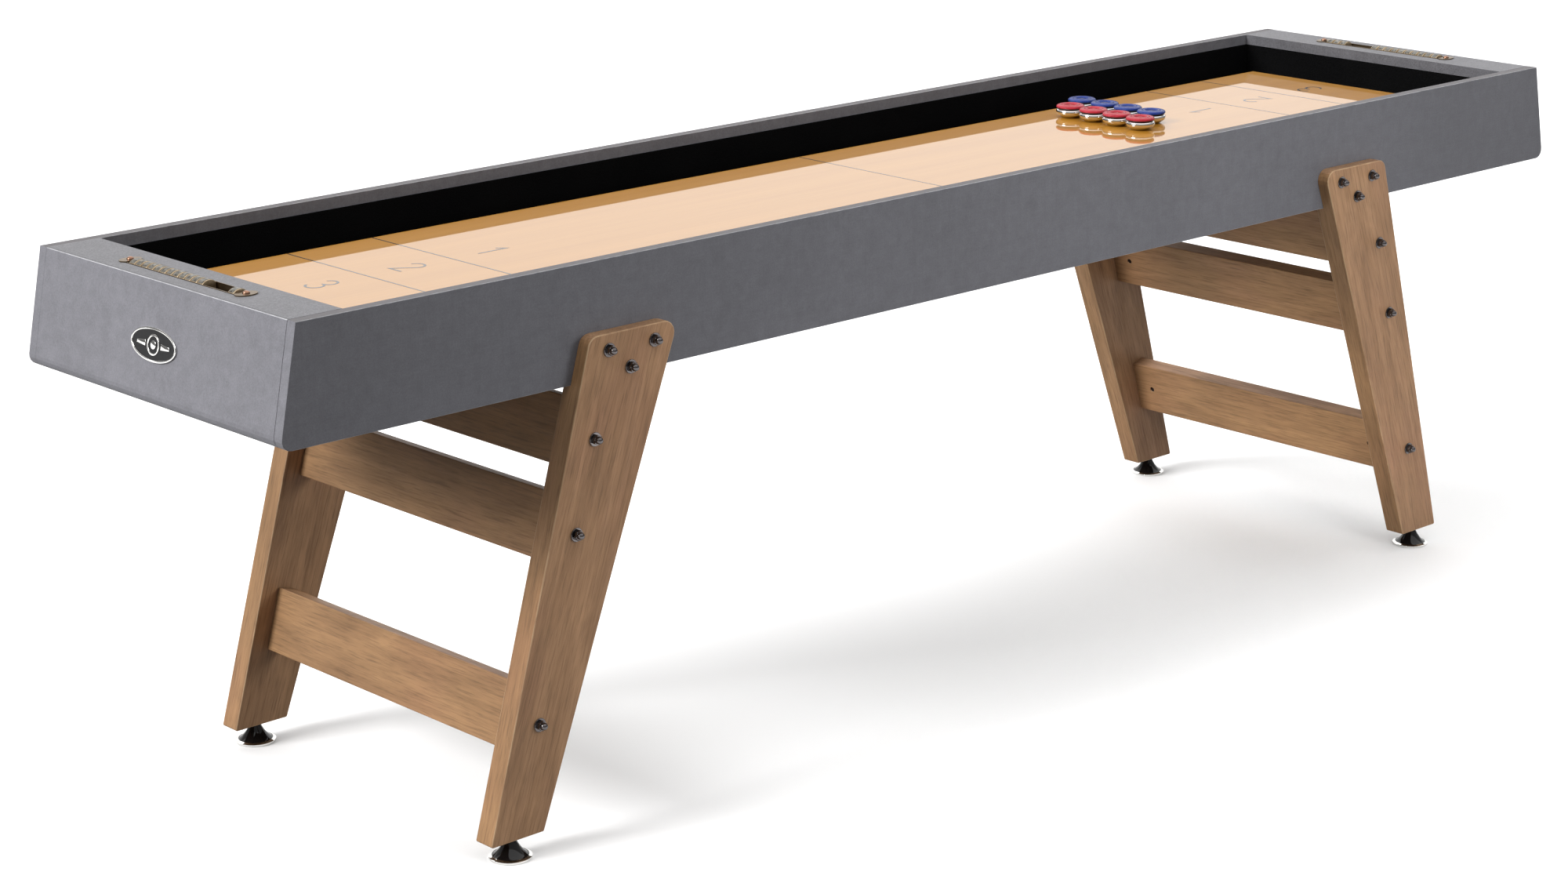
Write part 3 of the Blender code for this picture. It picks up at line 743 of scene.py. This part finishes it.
def make_barrel_nuts():
    """A slotted barrel nut in each cross hole on the planks' inner faces."""
    mesh = barrel_nut_mesh()
    for end, end_sign in ENDS.items():
        lean = Matrix.Rotation(-end_sign * PLANK_LEAN, 4, "Y")
        out = Matrix.Rotation(-end_sign * math.radians(90), 4, "Y")
        for level in ("top", "middle", "lower"):
            node = f"stretcher_{end}_{level}"
            centre = middle(node)
            low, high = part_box(node)
            reach = (high.y - low.y) / 2 - BARREL_INSET
            for side, side_sign in SIDES.items():
                face = Matrix.Translation((-end_sign * (PLANK_THICK / 2 - BARREL_SINK),
                                           side_sign * reach, 0))
                place = Matrix.Translation(centre) @ lean @ face @ out
                add(f"barrel_nut_{end}_{side}_{level}", mesh, BLACK_NICKEL, "table", place)


# Badge --------------------------------------------------------------------------------------

END_LEAN = math.radians(11.045)


def oval(length, height, steps=72):
    turns = [2 * math.pi * step / steps for step in range(steps)]
    return [(length / 2 * math.cos(turn), height / 2 * math.sin(turn)) for turn in turns]


def make_badge():
    """An oval chromed plate with a black enamel field, and a puck between two bars on it."""
    low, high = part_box("badge_plate")
    length, height = high.y - low.y, (high.z - low.z) / math.cos(END_LEAN)
    thick, rim = 0.0025, 0.0032
    facing = Matrix(((0, 0, -1, 0), (-1, 0, 0, 0), (0, 1, 0, 0), (0, 0, 0, 1)))
    face = Matrix.Translation(middle("badge_plate")) @ Matrix.Rotation(END_LEAN, 4, "Y") @ facing

    def layer(name, loops, bottom, top, material, ease=0.0):
        mesh = flat_shape(name, loops, top - bottom, ease)
        place = face @ Matrix.Translation((0, 0, (top + bottom) / 2))
        return add(name, mesh, material, "table", place)

    inner = (length - 2 * rim, height - 2 * rim)
    back, front = -thick / 2, thick / 2
    sunk = front - 0.0008
    plate = layer("badge_back", [oval(length - 0.0008, height - 0.0008)], back, sunk - 0.0004,
                  CHROME)
    layer("badge_rim", [oval(length, height), oval(*inner)], sunk - 0.0003, front, CHROME, 0.0005)
    layer("badge_enamel", [oval(inner[0] - 0.0003, inner[1] - 0.0003)], sunk - 0.0003, sunk,
          ENAMEL)
    layer("badge_ring", [oval(0.0290, 0.0290), oval(0.0230, 0.0230)], sunk + 0.0001, front,
          CHROME, 0.0003)
    layer("badge_dot", [oval(0.0120, 0.0120, 40)], sunk + 0.0001, front, CHROME, 0.0003)
    for side, sign in (("a", -1), ("b", 1)):
        bar = [(sign * u, v) for u, v in ((0.0185, 0.0042), (0.0385, 0.0024),
                                          (0.0385, -0.0024), (0.0185, -0.0042))]
        layer(f"badge_bar_{side}", [bar], sunk + 0.0001, front, CHROME, 0.0003)
    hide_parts("badge_plate")


# Levelers -----------------------------------------------------------------------------------

THREAD_PITCH = 0.0012
THREAD_STOP = 0.0022          # smooth stem between the neck and the thread
CONE_EDGE = 0.0262            # radius where the black cone meets the bright rim


def make_levelers():
    """A flared foot with a rolled rim on a threaded stem."""
    low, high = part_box("leveler_left_front")
    rim = (high.x - low.x) / 2
    neck_z = LEG_LOW.z - 0.0008
    profile = [(0.0, high.z), (0.0042, high.z), (0.005, high.z - 0.001)]
    z = high.z - 0.0015
    while z > neck_z + THREAD_STOP:
        profile += [(0.005, z), (0.0044, z - THREAD_PITCH / 2)]
        z -= THREAD_PITCH
    profile += [(0.005, z), (0.0046, neck_z), (0.0078, neck_z), (0.0084, neck_z - 0.0006),
                (0.0088, neck_z - 0.0026), (0.0097, 0.0238), (0.0112, 0.0206), (0.0134, 0.0168),
                (0.0162, 0.0130), (0.0192, 0.0096), (0.0222, 0.0068), (0.0252, 0.0048),
                (CONE_EDGE, 0.0043), (CONE_EDGE, 0.0), (0.0, 0.0)]
    mesh = turned("leveler_foot", profile, 64)
    lip = [(CONE_EDGE, 0.0047), (0.0280, 0.0040), (0.0300, 0.0035), (rim - 0.0001, 0.0031),
           (rim, 0.0027), (rim, 0.0005), (rim - 0.0006, 0.0001),
           (CONE_EDGE, 0.0001)]
    rim_mesh = turned_ring("leveler_rim", lip, 64)
    for end in ENDS:
        for side in SIDES:
            node = f"leveler_{end}_{side}"
            centre = middle(node)
            place = Matrix.Translation((centre.x, centre.y, 0))
            piece = add(f"{node}_foot", mesh, BLACK_GLOSS, node, place)
            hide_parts(node)
            add(f"{node}_rim", rim_mesh, CHROME, node, place)


# Pucks --------------------------------------------------------------------------------------

def make_pucks():
    """Each puck is a rounded chromed weight, a dark seam, a ring-shaped cap and its button."""
    low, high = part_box("puck_red_1")
    radius = (high.x - low.x) / 2
    height = high.z - low.z
    waist = height - 0.0072
    bulge_z, bulge_r = waist - 0.0048, 0.0052
    shoulder = arc((radius - bulge_r, bulge_z), bulge_r, 62, 0, 6)
    belly = [(radius - 0.0100 * t ** 2.1, bulge_z - (bulge_z - 0.0004) * t)
             for t in (0.15, 0.3, 0.45, 0.6, 0.72, 0.84, 0.93, 1.0)]
    body = ([(0.0, waist), (radius - 0.0042, waist)] + shoulder + belly
            + [(radius - 0.0106, 0.0), (0.0, 0.0)])
    seam = [(0.0, waist + 0.0017), (radius - 0.0022, waist + 0.0017),
            (radius - 0.0022, waist + 0.0001), (0.0, waist + 0.0001)]
    cap_low = waist + 0.0018
    cap = [(0.0100, height - 0.0020), (0.0108, height - 0.0016), (0.0116, height - 0.0004),
           (0.0124, height), (0.0140, height - 0.0001), (0.0148, height - 0.0006),
           (0.0152, height - 0.0014), (0.0160, height - 0.0015), (0.0166, height - 0.0007),
           (0.0176, height - 0.0002), (0.0196, height - 0.0003),
           (0.0222, height - 0.0009), (radius - 0.0012, height - 0.0021),
           (radius - 0.0005, height - 0.0034), (radius - 0.0005, cap_low + 0.0008),
           (radius - 0.0013, cap_low), (0.0100, cap_low)]
    button = [(0.0, height - 0.0012), (0.0030, height - 0.0011), (0.0036, height - 0.0016),
              (0.0060, height - 0.0021), (0.0085, height - 0.0020), (0.0097, height - 0.0026),
              (0.0097, cap_low), (0.0, cap_low)]
    weight_mesh = turned("puck_weight", body, 64)
    seam_mesh = turned("puck_seam", seam, 48)
    for colour, (rim_material, centre_material) in CAPS.items():
        cap_mesh = turned_ring(f"puck_cap_{colour}", cap, 64)
        button_mesh = turned(f"puck_button_{colour}", button, 48)
        for index in range(1, 5):
            node = f"puck_{colour}_{index}"
            centre = middle(node)
            place = Matrix.Translation((centre.x, centre.y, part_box(node)[0].z))
            weight = add(f"{node}_weight", weight_mesh, CHROME, node, place)
            add(f"{node}_seam", seam_mesh, GROOVE, node, place)
            add(f"{node}_cap", cap_mesh, rim_material, node, place)
            add(f"{node}_button", button_mesh, centre_material, node, place)
            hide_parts(node)


# Scorers ------------------------------------------------------------------------------------

TILE_PITCH = 0.015
TILE_GAP = 0.0014
CROWN_RISE = 0.0050           # from a tile's side to the middle of its rounded crown
ROD_HOLE = 0.0023
PANEL_MARGIN = 0.0052
SCREW_INSET = 0.0115          # from a tray's end to its screw's axis


def tile_crown(margin=0.0):
    """Centre and radius of a tile's crown, and the degrees it reaches to each side of its top."""
    low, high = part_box("score_tile_left_moving")
    half = (high.x - low.x) / 2
    radius = (half ** 2 + CROWN_RISE ** 2) / (2 * CROWN_RISE)
    reach = math.degrees(math.asin((half - margin) / radius))
    return (0.0, high.z - radius), radius, reach


def tile_mesh():
    """One scoring tile, its length along local Z, drawn in the plane across the rod."""
    low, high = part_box("score_tile_left_moving")
    half = (high.x - low.x) / 2
    centre, radius, reach = tile_crown()
    outline = arc(centre, radius, 90 - reach, 90 + reach, 12)
    outline += [(-half, low.z), (half, low.z)]
    hole = arc((0.0, middle("score_rod_left").z), ROD_HOLE, 0, 345, 23)
    return flat_shape("score_tile", [outline, hole], TILE_PITCH - TILE_GAP, 0.0011)


def tile_panel_mesh():
    """The dark sunk-looking field on a tile's crown: a thin curved patch laid on it."""
    centre, radius, reach = tile_crown(0.0008)
    over = arc(centre, radius + 0.00025, 90 - reach, 90 + reach, 10)
    under = arc(centre, radius - 0.0006, 90 + reach, 90 - reach, 10)
    return flat_shape("tile_panel", [over + under], TILE_PITCH - PANEL_MARGIN)


def make_scorers():
    """A row of tiles on each rod, one of them free to slide, and a dome screw at each end."""
    tile, panel = tile_mesh(), tile_panel_mesh()
    upright = Matrix.Rotation(math.radians(90), 4, "X")
    dome_r, dome_h = 0.0052, 0.0036
    dome = [(dome_r * math.sin(math.radians(a)), dome_h * math.cos(math.radians(a)))
            for a in range(0, 91, 15)]
    screw = turned("dome_screw", dome + [(dome_r, -0.0003), (0.0, -0.0003)], 32)
    for end in ENDS:
        x = middle(f"score_rod_{end}").x
        for node in (f"score_tiles_{end}_a", f"score_tile_{end}_moving", f"score_tiles_{end}_b"):
            low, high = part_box(node)
            count = round((high.y - low.y) / TILE_PITCH)
            body = node if node.endswith("moving") else "table"
            for index in range(count):
                y = (low.y + high.y) / 2 + (index - (count - 1) / 2) * TILE_PITCH
                place = Matrix.Translation((x, y, 0)) @ upright
                add(f"{node}_{index + 1}", tile, BRASS, body, place)
                add(f"{node}_{index + 1}_panel", panel, TILE_FIELD, body, place)
            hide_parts(node)
        tray_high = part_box(f"score_tray_{end}")[1]
        for side, sign in SIDES.items():
            y = sign * (tray_high.y - SCREW_INSET)
            add(f"score_screw_{end}_{side}", screw, COPPER, "table",
                Matrix.Translation((x, y, tray_high.z + 0.0001)))


# Stage --------------------------------------------------------------------------------------

FLOOR_HALF = 30.0
FLOOR_WHITE = (0.95, 0.95, 0.95)
FLOOR_DROP = 0.0005           # keeps the floor clear of the feet


def make_stage():
    mesh = bpy.data.meshes.new("floor")
    half = FLOOR_HALF
    corners = [(-half, -half, 0), (half, -half, 0), (half, half, 0), (-half, half, 0)]
    mesh.from_pydata(corners, [], [(0, 1, 2, 3)])
    floor = bpy.data.objects.new("floor", mesh)
    floor.location.z = -FLOOR_DROP
    bpy.context.scene.collection.objects.link(floor)
    surface = Surface("pale_floor", roughness=0.9, specular=0.1)
    surface.set("Base Color", FLOOR_WHITE)
    mesh.materials.append(surface.material)
    floor.visible_diffuse = False    # the floor's bounce would fill the shade under the table


def area_light(name, place, target, size, power, spread=180, mirrored=True):
    """A rectangular light. One that isn't mirrored leaves no bright patch in glossy surfaces."""
    data = bpy.data.lights.new(name, "AREA")
    data.spread = math.radians(spread)
    data.shape = "RECTANGLE"
    data.size, data.size_y = size
    data.energy = power
    light = hang(name, data, place, Vector(target) - Vector(place))
    light.visible_glossy = mirrored


def sun_light(name, from_direction, spread, strength):
    """A broad even light from one side. Its strength is the brightness of white facing it."""
    data = bpy.data.lights.new(name, "SUN")
    data.angle = math.radians(spread)
    data.energy = strength * math.pi
    hang(name, data, (0, 0, 3), -Vector(from_direction))


def hang(name, data, place, aim):
    """Puts a lamp at a place, shining along aim."""
    light = bpy.data.objects.new(name, data)
    light.location = place
    light.rotation_euler = aim.to_track_quat("-Z", "Y").to_euler()
    bpy.context.scene.collection.objects.link(light)
    return light


ABOVE, BELOW = 0.43, 0.06     # brightness of the studio's walls, above and below the horizon
WALL_GLOW = 0.90              # how much brighter the wall beyond the far end is
WALL_DIRECTION = (0.653, 0.704, 0.28)


def make_world():
    """A dim studio with one wide bright wall beyond the table's far end."""
    world = bpy.data.worlds.new("studio")
    bpy.context.scene.world = world
    world.use_nodes = True
    tree = world.node_tree
    place = tree.nodes.new("ShaderNodeTexCoord").outputs["Generated"]

    def ramp(value, low, high, to_low, to_high):
        made = tree.nodes.new("ShaderNodeMapRange")
        made.interpolation_type = "SMOOTHSTEP"
        for key, number in (("From Min", low), ("From Max", high),
                            ("To Min", to_low), ("To Max", to_high)):
            made.inputs[key].default_value = number
        tree.links.new(value, made.inputs["Value"])
        return made.outputs["Result"]

    def join(operation, first, second):
        made = tree.nodes.new("ShaderNodeMath")
        made.operation = operation
        tree.links.new(first, made.inputs[0])
        tree.links.new(second, made.inputs[1])
        return made.outputs[0]

    split = tree.nodes.new("ShaderNodeSeparateXYZ")
    tree.links.new(place, split.inputs[0])
    toward = tree.nodes.new("ShaderNodeVectorMath")
    toward.operation = "DOT_PRODUCT"
    toward.inputs[1].default_value = Vector(WALL_DIRECTION).normalized()
    tree.links.new(place, toward.inputs[0])
    glow = ramp(toward.outputs["Value"], 0.62, 0.84, 0.0, WALL_GLOW)
    lit = join("MULTIPLY", glow, ramp(split.outputs["Z"], -0.05, 0.05, 0.0, 1.0))
    strength = join("ADD", ramp(split.outputs["Z"], -0.15, 0.35, BELOW, ABOVE), lit)
    background = tree.nodes["Background"]
    background.inputs["Color"].default_value = (1, 1, 1, 1)
    tree.links.new(strength, background.inputs["Strength"])


def make_lights():
    sun_light("overhead", (0.05, 0.05, 1.0), 100, 0.55)
    sun_light("key", (-0.825, 0.24, 0.515), 24, 0.98)
    area_light("fill", (0.40, -2.2, 1.0), (0.35, -0.3, 0.6), (0.9, 0.9), 23, mirrored=False)
    area_light("low_strip", (-4.0, -1.6, 0.30), (1.0, -0.12, 0.24), (0.3, 0.3), 0.62, spread=9)


make_scene_setup()
make_camera()
dress_nodes()
make_marks()
make_bolts()
make_barrel_nuts()
make_badge()
make_levelers()
make_pucks()
make_scorers()
make_stage()
make_world()
make_lights()


def corners(box):
    return [list(corner) for corner in box]
